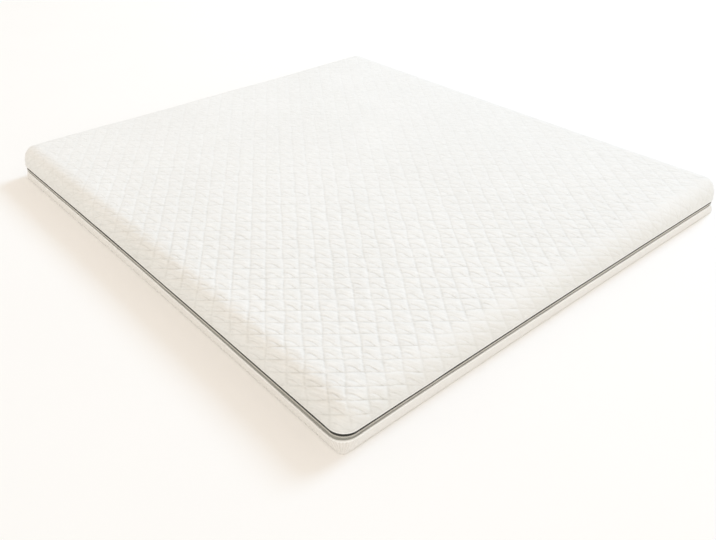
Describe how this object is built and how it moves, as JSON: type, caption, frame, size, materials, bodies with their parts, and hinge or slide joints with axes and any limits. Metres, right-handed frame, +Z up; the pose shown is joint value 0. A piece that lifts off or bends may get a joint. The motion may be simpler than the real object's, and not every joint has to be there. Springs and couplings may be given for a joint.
{
  "type": "mattress topper",
  "caption": "Thick rectangular mattress topper in a quilted knit cover that zips all round to a plain side band, lying flat.",
  "frame": {"origin": "centre of the topper's plan, on the surface that it lies on", "axes": "+Z up; +Y along the length; +X across the width. The zip's recess gapes most on the -X side near the -Y end."},
  "size_m": [1.8, 2, 0.1469],
  "materials": {
    "white_knit": "quilted double knit, off-white, matte",
    "white_cloth": "plain close-woven cloth, off-white, matte",
    "dark_grey_tape": "woven polyester tape, dark grey, in the hem's shadow",
    "grey_tape": "woven polyester tape, grey",
    "grey_nylon": "nylon zip chain, grey, satin"
  },
  "bodies": {
    "root": {"top_cover": "white_knit", "zip_tape_upper": "dark_grey_tape", "zip_coil": "grey_nylon", "zip_tape_lower": "grey_tape", "side_band": "white_cloth", "base_panel": "white_cloth"}
  },
  "joints": []
}
